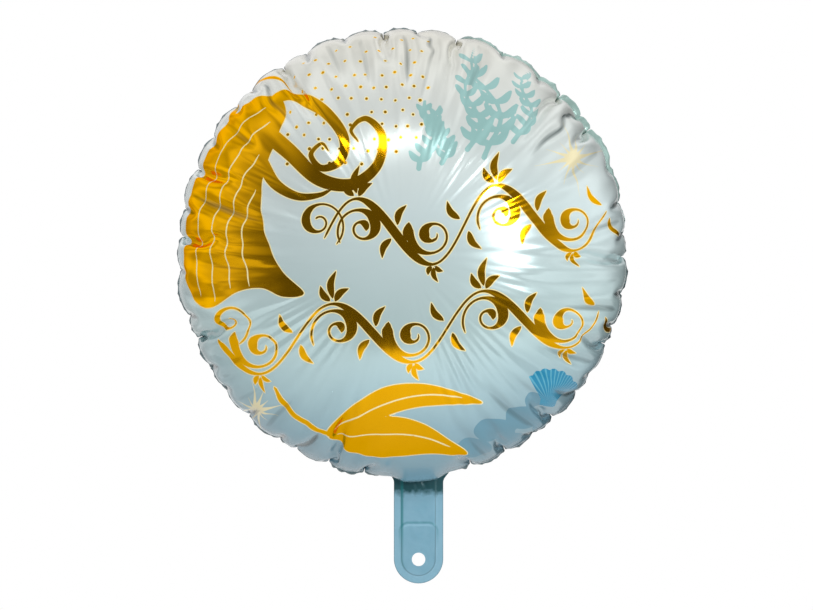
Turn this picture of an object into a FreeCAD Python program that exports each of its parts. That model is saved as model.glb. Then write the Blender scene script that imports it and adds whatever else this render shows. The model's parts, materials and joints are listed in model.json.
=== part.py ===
"""Round foil party balloon, inflated, with a filling tail and a self-sealing film valve. Millimetres.

Two discs of metallised film are welded together round the rim and blown up. The same two sheets run
on through a short neck into a flat tail, welded along its sides and round its end. A flat duct of two
thinner films is the valve: gas goes in at the tail, and inside the balloon it presses the duct shut.

Frame: the origin is in the middle of the neck, on the seam plane, where the tail folds and a ribbon is
tied. +Z points up the neck into the balloon, -Y is the printed front, and the tail hangs along -Z.
"""

import FreeCAD
import Part

import math
import os

Vector = FreeCAD.Vector

# ---------------------------------------------------------------- driving dimensions
FLAT_DIAMETER = 450.0  # each film disc as cut, before filling
RIM_WELD = 5.0  # width of the weld band round the rim
FILM = 0.4  # modelled wall of the outer film
NECK_LENGTH = 5.0  # from the outer edge of the rim weld down to the neck's fold line
NECK_FLARE = 5.0  # how much wider than the tail the neck is at the rim, each side
LEAN = 4.0  # degrees that the filled disc leans from the line of the tail

TAIL_WIDTH = 38.0
TAIL_LENGTH = 77.0  # from the neck's fold line to the round end
TAIL_WELD = 6.0  # width of the weld band round the tail
TAIL_HOLE_R = 5.2
TAIL_HOLE_TO_END = 18.5  # from the hole's centre to the round end

VALVE_FILM = 0.2  # modelled wall of the valve film
VALVE_WELD = 2.0  # width of the welds on the valve duct
VALVE_INLET = 29.5  # the duct's lower end, below the neck's fold line
VALVE_LIP_ROOT = 8.0  # the free lips start this far inside the rim
VALVE_LIP_LENGTH = 34.0

# ---------------------------------------------------------------- clearances
DUCT_GAP = 0.1  # between the two valve films, which is the closed duct
VALVE_CLEARANCE = 0.1  # from a valve film to the film or slot round it
VALVE_EDGE_GAP = 0.5  # from the duct's edges to the tail's side welds
FOLD_GAP = 1.0  # from a fold line to the film on each side of it
LIP_FOLD_GAP = 0.4  # from the lips' fold line to the film on each side of it

# ---------------------------------------------------------------- worked-out sizes
# A flat disc that can't stretch fills to a shape whose radius is the flat radius over this constant.
FLAT_TO_FILLED = 1.3110288
FILLED_R = (FLAT_DIAMETER / 2 - RIM_WELD) / FLAT_TO_FILLED
RIM_R = FILLED_R + RIM_WELD
CENTRE_X = -(RIM_R + NECK_LENGTH) * math.sin(math.radians(LEAN))
CENTRE_Z = (RIM_R + NECK_LENGTH) * math.cos(math.radians(LEAN))
CENTRE = Vector(CENTRE_X, 0, CENTRE_Z)

VALVE_HALF = TAIL_WIDTH / 2 - TAIL_WELD - VALVE_EDGE_GAP  # half the duct's width
VALVE_OUT = DUCT_GAP / 2 + VALVE_FILM  # outer face of a valve film, from the seam plane
PLY_IN = VALVE_OUT + VALVE_CLEARANCE  # inner face of a tail or neck ply, from the seam plane
PLY_OUT = PLY_IN + FILM

HOLE_Z = TAIL_HOLE_TO_END - TAIL_LENGTH
INLET_Z = -VALVE_INLET
LIP_Z = CENTRE_Z - math.sqrt(FILLED_R**2 - CENTRE_X**2) + VALVE_LIP_ROOT

# Stretches of film between the fold lines, each as its low and high Z.
TAIL_UPPER = (INLET_Z + FOLD_GAP, -FOLD_GAP)
TAIL_END = (-TAIL_LENGTH, INLET_Z - FOLD_GAP)
VALVE_NECK = (FOLD_GAP, LIP_Z - LIP_FOLD_GAP)
VALVE_LIP = (LIP_Z + LIP_FOLD_GAP, LIP_Z + VALVE_LIP_LENGTH)

MERIDIAN_POINTS = 14
SIMPSON_STEPS = 64


# ---------------------------------------------------------------- flat outlines, in the XZ plane
def rectangle(x_low, x_high, z_low, z_high):
    corners = [(x_low, z_low), (x_high, z_low), (x_high, z_high), (x_low, z_high), (x_low, z_low)]
    return Part.Face(Part.makePolygon([Vector(x, 0, z) for x, z in corners]))


def disc(radius, centre=CENTRE):
    return Part.Face(Part.Wire(Part.makeCircle(radius, centre, Vector(0, 1, 0))))


def neck_outline():
    """The flared film from the neck's fold line up to the filled disc."""
    half, flared = TAIL_WIDTH / 2, TAIL_WIDTH / 2 + NECK_FLARE
    foot, shoulders = FOLD_GAP, []
    edges = [Part.makeLine(Vector(-half, 0, foot), Vector(half, 0, foot))]
    for side in (-1, 1):
        rim_z = CENTRE_Z - math.sqrt(RIM_R**2 - (side * flared - CENTRE_X) ** 2)
        waist = Vector(side * (half + NECK_FLARE / 4), 0, (foot + rim_z) / 2)
        rim_point = Vector(side * flared, 0, rim_z)
        shoulders.append(rim_point + Vector(0, 0, 2 * RIM_WELD))
        edges.append(Part.Arc(Vector(side * half, 0, foot), waist, rim_point).toShape())
        edges.append(Part.makeLine(rim_point, shoulders[-1]))
    edges.append(Part.makeLine(*shoulders))
    outline = Part.Face(Part.Wire(Part.__sortEdges__(edges)))
    return outline.cut(disc(FILLED_R))


def tail_outline(stretch, inset=0.0):
    """One stretch of the round-ended tail, with its sides and end moved inwards by inset."""
    radius, arc_z = TAIL_WIDTH / 2 - inset, TAIL_WIDTH / 2 - TAIL_LENGTH
    left, right = Vector(-radius, 0, arc_z), Vector(radius, 0, arc_z)
    top_left, top_right = Vector(-radius, 0, 0), Vector(radius, 0, 0)
    edges = [
        Part.makeLine(top_left, left),
        Part.Arc(left, Vector(0, 0, arc_z - radius), right).toShape(),
        Part.makeLine(right, top_right),
        Part.makeLine(top_right, top_left),
    ]
    return Part.Face(Part.Wire(edges)).common(rectangle(-radius, radius, *stretch))


def valve_outline(stretch, half=VALVE_HALF):
    return rectangle(-half, half, *stretch)


# ---------------------------------------------------------------- solids
def slab(outline, y_low, y_high):
    """An outline made solid between two Y values."""
    moved = outline.copy()
    moved.translate(Vector(0, y_low, 0))
    return moved.extrude(Vector(0, y_high - y_low, 0))


def layer(outline, side, near, far):
    """An outline made solid between two distances from the seam plane, in front (-1) or behind (1)."""
    return slab(outline, near, far) if side > 0 else slab(outline, -far, -near)


def film_height(tilt):
    """Height over the seam plane of the filled film, where its normal tilts from the axis by tilt."""
    step = (math.pi / 2 - tilt) / SIMPSON_STEPS
    total = 0.0
    for i in range(SIMPSON_STEPS + 1):
        weight = 1 if i in (0, SIMPSON_STEPS) else (4 if i % 2 else 2)
        total += weight * math.sqrt(math.sin(tilt + i * step))
    return FILLED_R / 2 * total * step / 3


def meridian(inset):
    """Spline from the crown to the rim of the filled film, moved inwards by inset."""
    points = []
    for i in range(MERIDIAN_POINTS + 1):
        share = math.sin(math.pi / 2 * i / MERIDIAN_POINTS)
        tilt = math.asin(share**2)
        radius = FILLED_R * share - inset * math.sin(tilt)
        points.append(Vector(radius, film_height(tilt) - inset * math.cos(tilt), 0))
    curve = Part.BSplineCurve()
    curve.interpolate(Points=points, InitialTangent=Vector(1, 0, 0), FinalTangent=Vector(0, -1, 0))
    return curve


def panel(side):
    """One domed panel of film, with its half of the slot in the rim that the valve films run through."""
    outer, inner = meridian(0), meridian(FILM)
    edges = [
        outer.toShape(),
        Part.makeLine(outer.EndPoint, inner.EndPoint),
        inner.toShape(),
        Part.makeLine(inner.StartPoint, outer.StartPoint),
    ]
    face = Part.Face(Part.Wire(Part.__sortEdges__(edges)))
    dome = face.revolve(Vector(0, 0, 0), Vector(0, 1, 0), 360)
    if side < 0:
        dome = dome.mirror(Vector(0, 0, 0), Vector(0, 1, 0))
    dome.translate(CENTRE)
    return dome.cut(slab(valve_outline((0, LIP_Z), VALVE_HALF + VALVE_CLEARANCE), -PLY_IN, PLY_IN))


def rim_weld():
    """The flat band round the rim where both sheets are fused, open at the neck."""
    flared = TAIL_WIDTH / 2 + NECK_FLARE
    neck_gap = rectangle(-flared, flared, 0, CENTRE_Z)
    return slab(disc(RIM_R).cut(disc(FILLED_R)).cut(neck_gap), -FILM, FILM)


def neck_side_welds():
    """The two welded edges of the neck, which join the rim weld to the tail's side welds."""
    channel = TAIL_WIDTH / 2 - TAIL_WELD
    return slab(neck_outline().cut(rectangle(-channel, channel, 0, CENTRE_Z)), -PLY_IN, PLY_IN)


def tail_ply(stretch, side):
    hole = disc(TAIL_HOLE_R, Vector(0, 0, HOLE_Z))
    return layer(tail_outline(stretch).cut(hole), side, PLY_IN, PLY_OUT)


def tail_weld(stretch):
    """The fused band between the plies of one stretch of the tail."""
    return slab(tail_outline(stretch).cut(tail_outline(stretch, TAIL_WELD)), -PLY_IN, PLY_IN)


def valve_film(stretch, side):
    return layer(valve_outline(stretch), side, DUCT_GAP / 2, VALVE_OUT)


def valve_side_welds(stretch):
    """The two edge welds that make one stretch of the pair of valve films into a duct."""
    edges = valve_outline(stretch).cut(valve_outline(stretch, VALVE_HALF - VALVE_WELD))
    return slab(edges, -DUCT_GAP / 2, DUCT_GAP / 2)


def valve_inlet_welds():
    """The cross welds that hold the duct's lower end to the front and back plies of the tail."""
    outline = valve_outline((TAIL_UPPER[0], TAIL_UPPER[0] + VALVE_WELD))
    return Part.makeCompound([layer(outline, side, VALVE_OUT, PLY_IN) for side in (-1, 1)])


def valve_collar_welds():
    """The rim weld carried on over the neck, which closes the plies gas-tight onto the duct."""
    outline = valve_outline((0, CENTRE_Z)).common(disc(RIM_R).cut(disc(FILLED_R)))
    return Part.makeCompound([layer(outline, side, VALVE_OUT, PLY_IN) for side in (-1, 1)])


def nodes():
    """Every piece of the balloon by its name."""
    made = {
        "rim_weld": rim_weld(),
        "neck_side_welds": neck_side_welds(),
        "tail_upper_side_welds": tail_weld(TAIL_UPPER),
        "tail_end_weld": tail_weld(TAIL_END),
        "valve_neck_side_welds": valve_side_welds(VALVE_NECK),
        "valve_duct_side_welds": valve_side_welds(TAIL_UPPER),
        "valve_inlet_welds": valve_inlet_welds(),
        "valve_collar_welds": valve_collar_welds(),
    }
    for name, side in (("front", -1), ("back", 1)):
        made[f"{name}_panel"] = panel(side)
        made[f"neck_{name}_ply"] = layer(neck_outline(), side, PLY_IN, PLY_OUT)
        made[f"tail_upper_{name}_ply"] = tail_ply(TAIL_UPPER, side)
        made[f"tail_end_{name}_ply"] = tail_ply(TAIL_END, side)
        made[f"valve_duct_{name}_film"] = valve_film(TAIL_UPPER, side)
        made[f"valve_neck_{name}_film"] = valve_film(VALVE_NECK, side)
        made[f"valve_{name}_lip"] = valve_film(VALVE_LIP, side)
    return made


os.makedirs("parts", exist_ok=True)
for node, shape in nodes().items():
    shape.exportStep(f"parts/{node}.step")
    print(f"{node}: {len(shape.Solids)} solid(s), {shape.Volume:.1f} mm3, valid {shape.isValid()}")
print(f"filled radius {FILLED_R:.2f}, rim radius {RIM_R:.2f}, middle {CENTRE}, lip fold z {LIP_Z:.3f}")
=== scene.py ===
"""Round foil party balloon: the filled film, its welded rim, the tail, the printed front and a plain studio.

The two panels start as flat discs of film that bends but doesn't stretch. A short relaxation under the gas's
pressure gives them their puffs, tucks and long creases. The print is stored on the front panel's mesh as
distances to its lines and shapes, which the film's material turns into ink. Lengths are in millimetres up
to the line where a mesh is made, and in metres after it.
"""

import json
import math

import bpy
import numpy as np
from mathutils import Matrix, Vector

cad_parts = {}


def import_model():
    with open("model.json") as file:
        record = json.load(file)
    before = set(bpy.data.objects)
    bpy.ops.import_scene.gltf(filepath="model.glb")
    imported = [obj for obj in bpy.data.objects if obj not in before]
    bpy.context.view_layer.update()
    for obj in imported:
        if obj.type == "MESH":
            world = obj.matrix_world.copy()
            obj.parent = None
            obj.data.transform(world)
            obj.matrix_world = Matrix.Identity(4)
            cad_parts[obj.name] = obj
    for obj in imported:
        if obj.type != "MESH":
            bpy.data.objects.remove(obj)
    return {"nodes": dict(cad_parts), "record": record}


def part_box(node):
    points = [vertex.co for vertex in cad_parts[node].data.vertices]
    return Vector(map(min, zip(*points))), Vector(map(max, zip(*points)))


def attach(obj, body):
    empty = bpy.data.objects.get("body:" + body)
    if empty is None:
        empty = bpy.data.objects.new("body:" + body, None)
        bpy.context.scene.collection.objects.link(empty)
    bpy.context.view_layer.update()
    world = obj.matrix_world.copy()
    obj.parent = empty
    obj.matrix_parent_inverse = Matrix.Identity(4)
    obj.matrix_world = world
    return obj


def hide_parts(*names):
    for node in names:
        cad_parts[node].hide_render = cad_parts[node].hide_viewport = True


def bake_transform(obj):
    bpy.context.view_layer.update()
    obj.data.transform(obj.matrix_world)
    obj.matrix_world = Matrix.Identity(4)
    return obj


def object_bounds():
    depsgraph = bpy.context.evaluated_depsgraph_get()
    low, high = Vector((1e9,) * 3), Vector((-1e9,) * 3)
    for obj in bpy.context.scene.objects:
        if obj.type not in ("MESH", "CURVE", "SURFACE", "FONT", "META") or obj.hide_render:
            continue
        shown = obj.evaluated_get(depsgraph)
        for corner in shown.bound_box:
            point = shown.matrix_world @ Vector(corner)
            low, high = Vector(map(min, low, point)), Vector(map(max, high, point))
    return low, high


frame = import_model()
cad_low, cad_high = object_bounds()

MM = 0.001
TURN = 2 * math.pi


# ---------------------------------------------------------------- sizes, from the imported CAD
def box_mm(node):
    low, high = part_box(node)
    return np.array(low) / MM, np.array(high) / MM


weld_low, weld_high = box_mm("rim_weld")
panel_low, panel_high = box_mm("front_panel")
tail_low, tail_high = box_mm("tail_end_front_ply")
upper_low, upper_high = box_mm("tail_upper_front_ply")
neck_high = box_mm("neck_front_ply")[1]
hole = next(m for m in frame["record"]["mounts"] if m["name"] == "tail_hole")

RIM_R = (weld_high[0] - weld_low[0]) / 2
FILLED_R = (panel_high[0] - panel_low[0]) / 2
CENTRE = np.array([(weld_low[0] + weld_high[0]) / 2, 0, weld_high[2] - RIM_R])
LEAN = math.atan2(-CENTRE[0], CENTRE[2])
NECK_AZIMUTH = 1.5 * math.pi + LEAN
WELD = RIM_R - FILLED_R
FLAT_TO_FILLED = 1.3110288  # a disc that can't stretch fills to its flat radius over this
FLAT_R = FILLED_R * FLAT_TO_FILLED
NECK_HALF = neck_high[0]
TAIL_HALF = tail_high[0]
TAIL_END = tail_low[2]
NECK_FOLD, TAIL_FOLD = 0.0, (upper_low[2] + tail_high[2]) / 2
HOLE_Z = hole["pos_m"][2] / MM
HOLE_R = hole["dims"]["r_mm"]
TAIL_WELD = 6.0  # width of the weld band round the tail


def smoothstep(low, high, value):
    t = np.clip((value - low) / (high - low), 0, 1)
    return t * t * (3 - 2 * t)


def curve_between(p0, p1, p2, p3, t):
    """The smooth curve from p1 at t = 0 to p2 at t = 1, with p0 before them and p3 after them."""
    square = 2 * p0 - 5 * p1 + 4 * p2 - p3
    cube = 3 * (p1 - p2) + p3 - p0
    return p1 + t / 2 * (p2 - p0 + t * (square + t * cube))


# ---------------------------------------------------------------- the filled shape, without its creases
def filled_tables(radius, count=4001):
    """Length along the film from the middle, radius and height, for a filled disc that can't stretch."""
    angle = np.linspace(0, math.pi / 2, count)
    share = np.sin(angle)
    length_rate = 1 / np.sqrt(1 + share**2)
    height_rate = share**2 * length_rate

    def summed(rate):
        return np.concatenate([[0], np.cumsum((rate[1:] + rate[:-1]) / 2 * (angle[1] - angle[0]))])

    fall = summed(height_rate)
    return radius * summed(length_rate), radius * share, radius * (fall[-1] - fall)


LENGTHS, RADII, HEIGHTS = filled_tables(FILLED_R)


def filled(length):
    return np.interp(length, LENGTHS, RADII), np.interp(length, LENGTHS, HEIGHTS)


# ---------------------------------------------------------------- creases
# Long creases: where they meet the rim, in degrees anticlockwise from +X, and how far in they run.
LONG_CREASES = (
    (358, 120), (32, 60), (45, 125), (75, 100), (95, 70), (123, 95), (158, 120), (177, 120),
    (204, 80), (252, 80), (262, 50), (286, 50), (296, 75), (311, 80), (334, 60),
)  # fmt: skip
SHORT_SPACING = math.radians(8.6)
LONG_REACH = 48.0  # a crease that runs further in than this counts as long
KERNEL = math.radians(9)
GRID = np.arange(720) * TURN / 720


def creases():
    """Every crease as its azimuth, strength and reach: the long ones, with short ones between them."""
    random = np.random.default_rng(11)
    made = [(math.radians(a), 1.0, reach) for a, reach in LONG_CREASES]
    longs = sorted(c[0] for c in made)
    for k, azimuth in enumerate(longs):
        gap = (longs[(k + 1) % len(longs)] - azimuth) % TURN
        if abs(azimuth + gap / 2 - NECK_AZIMUTH) < math.radians(10):
            continue
        count = max(1, round(gap / SHORT_SPACING))
        for q in range(1, count):
            share = (q + 0.27 * random.uniform(-1, 1)) / count
            strength = 0.32 + 0.18 * random.uniform(-1, 1)
            made.append(((azimuth + gap * share) % TURN, strength, 26 + 9 * random.uniform(-1, 1)))
    return sorted(made)


def off_azimuth(a, b):
    """The angle between two azimuths, never negative."""
    return np.abs(np.mod(a - b + math.pi, TURN) - math.pi)


def column_angles(folds, count, sharp=2.2, width=math.radians(2.0)):
    """Angles of the film grid's columns on the flat disc, closer together at the long creases."""
    fine = np.linspace(0, TURN, 20001)
    density = np.ones_like(fine)
    for azimuth, _, reach in folds:
        if reach > LONG_REACH:
            density += sharp * np.exp(-((off_azimuth(fine, azimuth) / width) ** 2))
    total = np.concatenate([[0], np.cumsum((density[1:] + density[:-1]) / 2)])
    return np.interp(np.arange(count) / count, total / total[-1], fine)


def arc_half_angle(ratio):
    """Half-angle of an arc whose length is ratio times its chord."""
    half = np.linspace(1e-4, 2.2, 4000)
    return float(np.interp(ratio, half / np.sin(half), half))


def tuck_walls(folds, length, radius, inset):
    """Depth of the tuck at each crease. Together they take in the film that the smaller radius leaves over."""
    fades = np.array([
        strength * (min(1.0, 0.60 + inset / 60) if reach > LONG_REACH else 1.0)
        * max(0.0, 1 - inset / reach) ** 0.7
        for _, strength, reach in folds
    ])  # fmt: skip
    azimuths = np.array([f[0] for f in folds])
    pull = fades[None, :] * np.exp(-off_azimuth(GRID[:, None], azimuths[None, :]) / KERNEL)
    neck_fade = max(0.0, 1 - inset / 70)
    free = 1 - neck_fade * (off_azimuth(GRID, NECK_AZIMUTH) < NECK_HALF / length)
    cells = (pull / (pull.sum(1, keepdims=True) + 0.004) * free[:, None]).sum(0) * TURN / len(GRID)
    share = 0.96 - 0.08 * math.exp(-inset / 25)
    return 0.5 * share * (length - radius) * cells


def folded_ring(folds, theta, length, radius, inset):
    """Azimuth and outward shift of one ring of the film: arched puffs with a tuck between each pair."""
    marks = []
    for (azimuth, _, _), wall in zip(folds, tuck_walls(folds, length, radius, inset)):
        if wall > 0.02:
            mouth = min(0.8, 0.6 * wall)
            marks.append((length * azimuth - wall, length * azimuth + wall, mouth, wall))
    neck_half = NECK_HALF * max(0.0, 1 - inset / 70)
    if neck_half > 1:
        at = length * NECK_AZIMUTH
        marks.append((at - neck_half, at + neck_half, 2 * neck_half, 0.0))
    marks.sort()
    if not marks:
        return theta.copy(), 0 * theta
    whole, ring = TURN * length, TURN * radius
    ratio = (ring - sum(m[2] for m in marks)) / (whole - sum(m[1] - m[0] for m in marks))
    alpha = arc_half_angle(max(1 / ratio, 1.0001))
    arch = math.exp(-inset / 16) / math.sin(alpha)
    line, here = [], 0.0  # points as the place on the film, the place round the ring and the outward shift
    for i, (low, high, mouth, wall) in enumerate(marks):
        line.append((low, here, 0.0))
        if wall:
            deep = math.sqrt(max(wall**2 - mouth**2 / 4, 0))
            line.append(((low + high) / 2, here + mouth / 2, -deep))
        here += mouth
        line.append((high, here, 0.0))
        after = marks[(i + 1) % len(marks)][0] + (whole if i == len(marks) - 1 else 0)
        gap, chord = after - high, (after - high) * ratio
        count = max(2, int(gap / 1.5))
        for q in range(1, count):
            bend = alpha * (2 * q / count - 1)
            along = here + chord / 2 * (1 + math.sin(bend) / math.sin(alpha))
            lift = chord / 2 * (math.cos(bend) - math.cos(alpha)) * arch
            line.append((high + gap * q / count, along, lift))
        here += chord
    film, place, out = np.array(line).T
    film3 = np.concatenate([film - whole, film, film + whole])
    place3 = np.concatenate([place - here, place, place + here])
    turned = radius * NECK_AZIMUTH - np.interp(length * NECK_AZIMUTH, film3, place3)
    azimuth = (np.interp(length * theta, film3, place3) + turned) / radius
    shift = np.interp(length * theta, film3, np.tile(out, 3))
    return azimuth, shift - min(shift.mean(), 2.0)


def start_shape(folds, theta, rows):
    """The front film before it relaxes, as [row, column, xyz] about the disc's middle."""
    points = np.zeros((len(rows), len(theta), 3))
    for j, length in enumerate(rows):
        radius, height = filled(length)
        tilt = math.asin(min(1.0, (radius / FILLED_R) ** 2))
        azimuth, shift = folded_ring(folds, theta, length, radius, FLAT_R - length)
        reach = radius + shift * math.sin(tilt)
        points[j, :, 0] = reach * np.cos(azimuth)
        points[j, :, 1] = -(height + shift * math.cos(tilt))
        points[j, :, 2] = reach * np.sin(azimuth)
    return points


# ---------------------------------------------------------------- relaxation under pressure
def following(a):
    """Each point's neighbour at the next column."""
    return np.roll(a, -1, axis=1)


def before(a):
    """Each point's neighbour at the column before."""
    return np.roll(a, 1, axis=1)


def spring(start, end, rest, stiffness):
    """The pull on each start from its end, in a spring of the given length at rest."""
    d = end - start
    length = np.sqrt((d * d).sum(-1))
    return d * (stiffness * (1 - rest / np.maximum(length, 1e-9)))[..., None]


def unfold(X, gap_min=0.05):
    """Turns neighbours that have swapped places round the disc half-way back into order."""
    azimuth = np.arctan2(X[..., 2], X[..., 0])
    gap = np.mod(following(azimuth) - azimuth + math.pi, TURN) - math.pi
    short = np.minimum(gap - gap_min / np.hypot(X[..., 0], X[..., 2]), 0) * 0.5
    turn = short - before(short)
    turn[-1] = 0
    c, s = np.cos(turn), np.sin(turn)
    X[..., 0], X[..., 2] = X[..., 0] * c - X[..., 2] * s, X[..., 0] * s + X[..., 2] * c


DIAGONAL_SHARE = 0.35  # the diagonals' stiffness as a share of the other springs'
BEND_LIMIT = 0.10  # bending stays below this share of the stretching stiffness, so that a step is stable
MASS_MARGIN = 1.05  # how far each point's mass is above the least at which a step is stable


def relax(rows, theta, X, steps, bend, damp, film=9000.0):
    """Explicit relaxation of the film under unit pressure. Its middle and its welded rim stay put."""
    apart = np.mod(np.roll(theta, -1) - theta, TURN)[None, :]
    s, ds = rows[:, None], (rows[1:] - rows[:-1])[:, None]
    hoop = 2 * s * np.sin(apart / 2)
    diagonal = np.sqrt(s[:-1] ** 2 + s[1:] ** 2 - 2 * s[:-1] * s[1:] * np.cos(apart))
    width = np.zeros((len(rows), 1))
    width[:-1] += ds / 2
    width[1:] += ds / 2
    middle = (s[1:] + s[:-1]) / 2
    k_hoop = film * width / hoop
    k_radial = film * middle * (apart + before(apart)) / 2 / ds
    k_diagonal = DIAGONAL_SHARE * film * np.sqrt(ds * middle * apart) / diagonal
    crossing = k_radial + k_diagonal + before(k_diagonal)
    stiff = k_hoop + before(k_hoop)
    stiff[:-1] += crossing
    stiff[1:] += crossing
    hoop_cell = (hoop + before(hoop)) / 2
    k_bend_hoop = np.minimum(bend * width / hoop_cell**3, BEND_LIMIT * stiff)[..., None]
    k_bend_radial = np.minimum(bend * hoop_cell / width**3, BEND_LIMIT * stiff)[..., None]
    mass = MASS_MARGIN * (stiff[..., None] + 6 * k_bend_hoop + 6 * k_bend_radial)
    V = np.zeros_like(X)
    for step in range(steps):
        beside = following(X)
        f = spring(X, beside, hoop, k_hoop)
        F = f - before(f)
        f = spring(X[:-1], X[1:], ds, k_radial)
        F[:-1] += f
        F[1:] -= f
        f = spring(X[:-1], beside[1:], diagonal, k_diagonal)
        F[:-1] += f
        F[1:] -= before(f)
        f = spring(beside[:-1], X[1:], diagonal, k_diagonal)
        F[1:] -= f
        F[:-1] += before(f)
        c = k_bend_hoop * (beside + before(X) - 2 * X)
        F -= following(c) + before(c) - 2 * c
        c = k_bend_radial[1:-1] * (X[2:] + X[:-2] - 2 * X[1:-1])
        F[1:-1] += 2 * c
        F[2:] -= c
        F[:-2] -= c
        along = np.empty_like(X)
        along[1:-1] = (X[2:] - X[:-2]) / 2
        along[0] = X[1] - X[0]
        along[-1] = (X[-1] - X[-2]) / 2
        F -= np.cross((beside - before(X)) / 2, along)
        V = damp * V + F / mass
        V[-1] = 0
        V[0] = 0
        X = X + V
        if step % 4 == 0:
            unfold(X)
    return X


def off_long_creases(theta, folds):
    """How far each column is from the nearest long crease, as an angle."""
    longs = np.array([azimuth for azimuth, _, reach in folds if reach > LONG_REACH])
    return off_azimuth(theta[:, None], longs[None, :]).min(1)


def calm(X, theta, folds, passes=10):
    """Evens the film out along the long creases, where it is still moving, and a little elsewhere."""
    near_long = np.exp(-((off_long_creases(theta, folds) / math.radians(3)) ** 2))
    weight = (0.25 + 0.75 * near_long)[None, :, None]
    for _ in range(passes):
        even = X.copy()
        even[1:-1] = X[1:-1] / 2 + (X[2:] + X[:-2]) / 4
        X = X + weight * (even - X)
    return X


# ---------------------------------------------------------------- finer grid, cap and ripples
COLUMNS, SIM_ROWS, FINE_ROWS, CAP_RINGS = 720, 77, 123, 10
# Each stage of the relaxation: steps, the film's bending stiffness, and the share of speed kept each step.
STAGES = ((400, 400.0, 0.985), (700, 60.0, 0.985), (250, 60.0, 0.90))
SIM_START = 30.0  # the film nearer the middle than this is smooth, and isn't relaxed


def resampled(X, count):
    """More rows, on a smooth curve through the ones there are."""
    last = len(X) - 1
    at = np.linspace(0, last, count)
    i = np.minimum(at.astype(int), last - 1)
    t = (at - i)[:, None, None]
    return curve_between(X[np.maximum(i - 1, 0)], X[i], X[i + 1], X[np.minimum(i + 2, last)], t)


def ripple_wave(theta, low, high, random):
    """A random wave round the disc, with between low and high ripples in the whole turn."""
    counts = np.arange(low, high)
    size = random.normal(size=len(counts))
    phase = random.uniform(0, TURN, len(counts))
    wave = (size[:, None] * np.cos(counts[:, None] * theta[None, :] + phase[:, None])).sum(0)
    return wave / wave.std()


# Bands of ripples: the counts in a whole turn, the band's middle and spread along the film, and its height.
RIPPLES = (((34, 58), 66, 20, 0.05), ((60, 100), 108, 30, 0.17), ((90, 150), 150, 24, 0.09))


def with_ripples(X, lengths, theta, seed):
    """Adds the fine radial ripples of film that is slack round the disc and tight along its radius."""
    random = np.random.default_rng(seed)
    radius, _ = filled(lengths)
    tilt = np.arcsin(np.clip((radius / FILLED_R) ** 2, 0, 1))
    size = np.zeros((len(lengths), len(theta)))
    for counts, middle, spread, height in RIPPLES:
        wave = ripple_wave(theta, *counts, random)
        patches = 0.55 + 0.45 * ripple_wave(theta, 3, 9, random)
        size += height * np.exp(-(((lengths - middle) / spread) ** 2))[:, None] * (wave * patches)[None, :]
    azimuth = np.arctan2(X[..., 2], X[..., 0])
    out = np.stack([
        np.sin(tilt)[:, None] * np.cos(azimuth),
        -np.cos(tilt)[:, None] + 0 * azimuth,
        np.sin(tilt)[:, None] * np.sin(azimuth),
    ], -1)  # fmt: skip
    return X + size[..., None] * out


def relaxed_film():
    """The front film: its rows' lengths, its columns' angles and its points about the disc's middle."""
    folds = creases()
    theta = column_angles(folds, COLUMNS)
    rows = np.linspace(SIM_START, FLAT_R, SIM_ROWS)
    X = start_shape(folds, theta, rows)
    for steps, bend, damp in STAGES:
        X = relax(rows, theta, X, steps, bend, damp)
    X = drawn_out(flatter_puffs(calm(X, theta, folds), rows, theta, folds), rows)
    X = resampled(X, FINE_ROWS)
    lengths = np.linspace(SIM_START, FLAT_R, FINE_ROWS)
    inner = SIM_START * np.arange(1, CAP_RINGS) / CAP_RINGS
    radius, height = filled(inner)
    cap = np.stack([
        radius[:, None] * np.cos(theta),
        -height[:, None] + 0 * theta[None, :],
        radius[:, None] * np.sin(theta),
    ], -1)  # fmt: skip
    return folds, np.concatenate([inner, lengths]), theta, np.concatenate([cap, X])


# ---------------------------------------------------------------- meshes
def make_mesh(name, points, faces, sharp=None):
    """A smooth-shaded object from points in millimetres. Edges that turn by over sharp degrees stay sharp."""
    mesh = bpy.data.meshes.new(name)
    mesh.from_pydata((np.asarray(points) * MM).tolist(), [], [list(map(int, f)) for f in faces])
    mesh.update()
    mesh.shade_smooth()
    if sharp:
        mesh.set_sharp_from_angle(angle=math.radians(sharp))
    made = bpy.data.objects.new(name, mesh)
    bpy.context.scene.collection.objects.link(made)
    return made


def grid_faces(rows, columns, closed=False, flip=False):
    index = np.arange(rows * columns).reshape(rows, columns)
    beside = np.roll(index, -1, 1) if closed else index[:, 1:]
    here = index if closed else index[:, :-1]
    quads = np.stack([here[:-1], here[1:], beside[1:], beside[:-1]], -1).reshape(-1, 4)
    return quads[:, ::-1] if flip else quads


def thickened(points, faces, offset):
    """The same surface again at an offset, facing the other way, and walls where the surface ends."""
    count = len(points)
    doubled = np.concatenate([points, points + offset])
    all_faces = [tuple(f) for f in faces] + [tuple(v + count for v in reversed(f)) for f in faces]
    edges = set()
    for f in faces:
        for a, b in zip(f, (*f[1:], f[0])):
            if (b, a) in edges:
                edges.remove((b, a))
            else:
                edges.add((a, b))
    all_faces += [(b, a, a + count, b + count) for a, b in sorted(edges)]
    return doubled, all_faces


def outwards(X):
    """Roughly the outward direction at each point of the filled film."""
    out = np.stack([X[..., 0], 1.2 * X[..., 1], X[..., 2]], -1)
    return out / np.linalg.norm(out, axis=-1, keepdims=True)


def fold_depth(X, spread):
    """How far each point lies below the film round it, which is large down in a tuck."""
    columns = X.shape[1]
    reach = int(2.5 * spread / TURN * columns)
    shifts = np.arange(-reach, reach + 1)
    weights = np.exp(-((shifts * TURN / columns / spread) ** 2))
    height = (X * outwards(X)).sum(-1)
    around = sum(w * np.roll(height, k, axis=1) for k, w in zip(shifts, weights / weights.sum()))
    return around - height


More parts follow.
